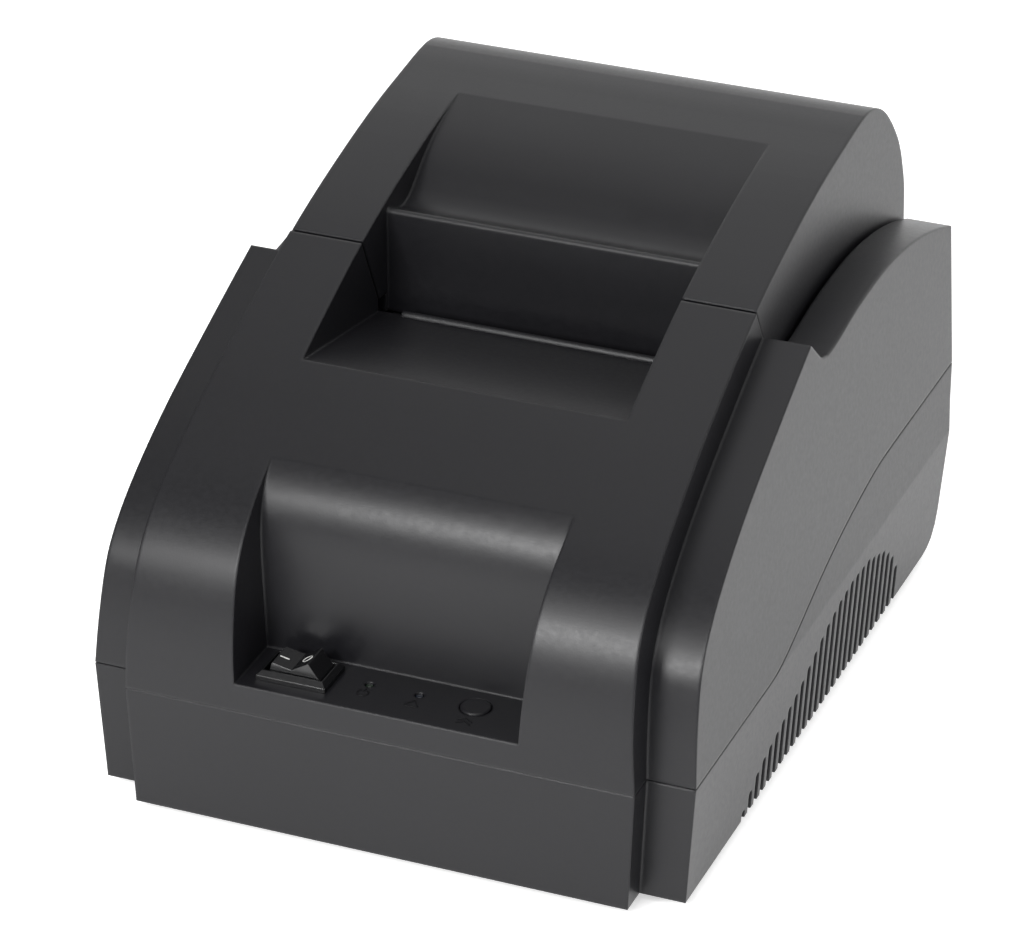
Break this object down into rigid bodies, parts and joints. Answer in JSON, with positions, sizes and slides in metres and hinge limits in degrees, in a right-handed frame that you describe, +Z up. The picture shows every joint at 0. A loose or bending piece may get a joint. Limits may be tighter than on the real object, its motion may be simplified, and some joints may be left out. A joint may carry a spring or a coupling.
{
  "type": "receipt printer",
  "caption": "Compact black desktop thermal printer with a curved hinged paper lid, sloped paper exit, recessed control shelf and vented side cheeks.",
  "frame": {"origin": "centre of the footprint at the underside of the rubber feet", "axes": "+Z up, -Y towards the front with the controls, +X to the user's right"},
  "size_m": [0.13, 0.1717, 0.1126],
  "materials": {
    "casing_black": "fine satin moulded texture",
    "gloss_black": "glossy",
    "inner_black": "matte",
    "rubber_black": "matte",
    "platen_rubber": "ground rubber",
    "steel": "brushed",
    "aluminium": "satin",
    "ceramic_strip": "glazed",
    "nylon_white": "moulded nylon",
    "brass": "turned",
    "pcb_green": "solder mask",
    "chip_black": "moulded epoxy",
    "can_silver": "drawn can",
    "flex_amber": "polyimide film",
    "led_green": "tinted lens",
    "led_blue": "tinted lens",
    "plated": "plated"
  },
  "bodies": {
    "base": {"lower_casing": "casing_black", "upper_casing": "casing_black", "paper_bay": "inner_black", "bay_screws": "plated", "tear_bar": "casing_black", "mech_frame": "steel", "mech_screws": "plated", "head_pivot_pin": "steel", "head_springs": "steel", "gear_post": "steel", "motor": "can_silver", "motor_screws": "plated", "paper_sensor": "chip_black", "head_flex": "flex_amber", "switch_body": "gloss_black", "switch_terminals": "brass", "tact_switch": "chip_black", "power_led": "led_green", "status_led": "led_blue", "panel_pcb": "pcb_green", "panel_pillars": "inner_black", "panel_screws": "plated", "main_pcb": "pcb_green", "pcb_screws": "plated", "main_chips": "chip_black", "capacitors": "can_silver", "usb_socket": "plated", "dc_socket": "chip_black", "drawer_socket": "chip_black", "casing_screws": "plated", "rubber_feet": "rubber_black"},
    "lid": {"paper_lid": "casing_black", "lid_hinge_pins": "steel", "platen_bracket": "inner_black", "platen_bushes": "brass"},
    "platen": {"platen_roller": "platen_rubber", "platen_shaft": "steel", "platen_gear": "nylon_white"},
    "transfer_gear": {"compound_gear": "nylon_white"},
    "motor_rotor": {"motor_shaft": "steel", "motor_pinion": "brass"},
    "print_head": {"head_heatsink": "aluminium", "thermal_strip": "ceramic_strip"},
    "rocker": {"switch_rocker": "gloss_black"},
    "feed_key": {"feed_button": "casing_black", "tact_plunger": "inner_black"}
  },
  "joints": [
    {"name": "lid_hinge", "type": "hinge", "parent": "base", "child": "lid", "pos_m": [0, 0.07915, 0.0725], "axis": [-1, 0, 0], "range_deg": [0, 90]},
    {"name": "platen_spin", "type": "hinge", "parent": "lid", "child": "platen", "pos_m": [0, 0.00485, 0.0695], "axis": [1, 0, 0], "continuous": true},
    {"name": "transfer_spin", "type": "hinge", "parent": "base", "child": "transfer_gear", "pos_m": [0.043, -0.00235, 0.0599], "axis": [1, 0, 0], "continuous": true},
    {"name": "motor_spin", "type": "hinge", "parent": "base", "child": "motor_rotor", "pos_m": [0.03, -0.01435, 0.0599], "axis": [1, 0, 0], "continuous": true},
    {"name": "head_pivot", "type": "hinge", "parent": "base", "child": "print_head", "pos_m": [0, -0.00535, 0.0545], "axis": [1, 0, 0], "range_deg": [0, 2.5], "stiffness_Nm_per_rad": 0.6, "deforming": ["head_springs"]},
    {"name": "power_rocker", "type": "hinge", "parent": "base", "child": "rocker", "pos_m": [-0.0197, -0.07795, 0.0361], "axis": [0, 1, 0], "range_deg": [0, 20]},
    {"name": "feed_press", "type": "slide", "parent": "base", "child": "feed_key", "axis": [0, 0, -1], "range_m": [0, 0.0008], "stiffness_N_per_m": 900}
  ],
  "couplings": [
    {"joint": "transfer_spin", "follows": "platen_spin", "ratio": -2},
    {"joint": "motor_spin", "follows": "platen_spin", "ratio": 4.4}
  ]
}
